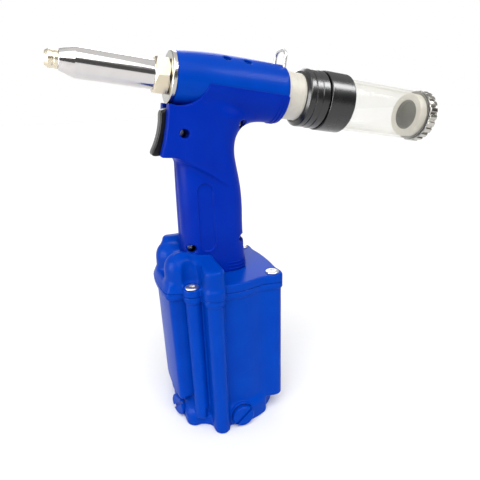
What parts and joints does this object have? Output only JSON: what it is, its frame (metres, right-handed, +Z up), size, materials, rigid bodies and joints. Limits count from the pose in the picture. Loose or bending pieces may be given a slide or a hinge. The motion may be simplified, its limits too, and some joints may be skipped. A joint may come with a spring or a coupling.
{
  "type": "pneumatic riveter",
  "caption": "Pistol-shaped air-hydraulic blind riveter with a cylinder base, slim grip, trigger, chromed nose and clear mandrel collector.",
  "frame": {"origin": "centre of the flat underside of the base", "axes": "+Z up the grip, nose towards -X, collector towards +X"},
  "size_m": [0.3118, 0.106, 0.2953],
  "materials": {
    "blue_paint": "satin blue enamel on cast aluminium",
    "blue_shell": "satin moulded plastic in the same blue",
    "black_gloss": "glossy black",
    "black_enamel": "glossy black enamel on a cast lever",
    "chrome": "polished plating",
    "nickel": "turned and plated",
    "yellow_zinc": "pale yellow zinc",
    "cream": "cream, fine turned lines",
    "clear": "clear plastic",
    "rubber": "black rubber",
    "bright_steel": "bright zinc",
    "plain_steel": "ground",
    "plain_aluminium": "machined",
    "brass": "turned"
  },
  "bodies": {
    "tool_body": {"base_cup": "blue_paint", "base_cover": "blue_paint", "barrel": "blue_paint", "side_plug": "blue_paint", "front_plug": "blue_paint", "handle_left": "blue_shell", "handle_right": "blue_shell", "nose_housing": "chrome", "nose_collar": "nickel", "nose_lock_nut": "yellow_zinc", "nosepiece": "yellow_zinc", "collector_adapter": "cream", "base_gasket": "rubber", "plug_seals": "rubber", "bumper": "rubber", "rod_seal": "rubber", "front_gland_seal": "rubber", "rear_gland_seal": "rubber", "base_bolts": "bright_steel", "handle_screws": "bright_steel", "oil_screws": "bright_steel", "hanger_loop": "bright_steel", "trigger_pin": "bright_steel", "return_spring": "plain_steel", "valve_spring": "plain_steel", "oil_cylinder": "plain_steel", "oil_pipe": "plain_steel", "air_pipe": "plain_steel", "rod_gland": "plain_aluminium", "front_gland": "plain_aluminium", "rear_gland": "plain_aluminium", "air_inlet_bush": "brass", "valve_sleeve": "brass"},
    "trigger_lever": {"trigger": "black_enamel"},
    "valve_spool": {"valve_stem": "plain_aluminium"},
    "air_piston_group": {"air_piston": "plain_aluminium", "air_piston_seal": "rubber", "piston_nut": "plain_steel", "piston_rod": "plain_steel"},
    "pull_group": {"pull_piston": "plain_steel", "pull_piston_seals": "rubber", "jaw_case": "plain_steel", "jaws": "plain_steel", "jaw_pusher": "plain_steel", "jaw_spring": "plain_steel"},
    "ring_group": {"valve_ring": "black_gloss"},
    "collector": {"collector_collar": "black_gloss", "collector_tube": "clear"},
    "cap_group": {"collector_cap": "nickel", "cap_seal": "rubber"}
  },
  "joints": [
    {"name": "trigger_pull", "type": "hinge", "parent": "tool_body", "child": "trigger_lever", "pos_m": [-0.0346, 0, 0.2505], "axis": [0, -1, 0], "range_deg": [0, 8], "stiffness_Nm_per_rad": 0.02, "springref_deg": -2.86},
    {"name": "valve_push", "type": "slide", "parent": "tool_body", "child": "valve_spool", "axis": [1, 0, 0], "range_m": [0, 0.00345], "deforming": ["valve_spring"]},
    {"name": "air_piston_rise", "type": "slide", "parent": "tool_body", "child": "air_piston_group", "axis": [0, 0, 1], "range_m": [0, 0.063], "stiffness_N_per_m": 245, "springref_m": -0.035},
    {"name": "mandrel_pull", "type": "slide", "parent": "tool_body", "child": "pull_group", "axis": [0.9863, 0, -0.165], "range_m": [0, 0.018], "deforming": ["return_spring"]},
    {"name": "valve_ring_turn", "type": "hinge", "parent": "tool_body", "child": "ring_group", "pos_m": [0.07633, 0, 0.25684], "axis": [0.9863, 0, -0.165], "range_deg": [0, 60]},
    {"name": "collector_turn", "type": "hinge", "parent": "tool_body", "child": "collector", "pos_m": [0.09902, 0, 0.25304], "axis": [0.9863, 0, -0.165], "range_deg": [0, 45]},
    {"name": "cap_pull", "type": "slide", "parent": "collector", "child": "cap_group", "axis": [0.9863, 0, -0.165], "range_m": [0, 0.03]}
  ],
  "couplings": [
    {"joint": "valve_push", "follows": "trigger_pull", "m_per_rad": 0.0245},
    {"joint": "mandrel_pull", "follows": "air_piston_rise", "ratio": 0.2857}
  ]
}
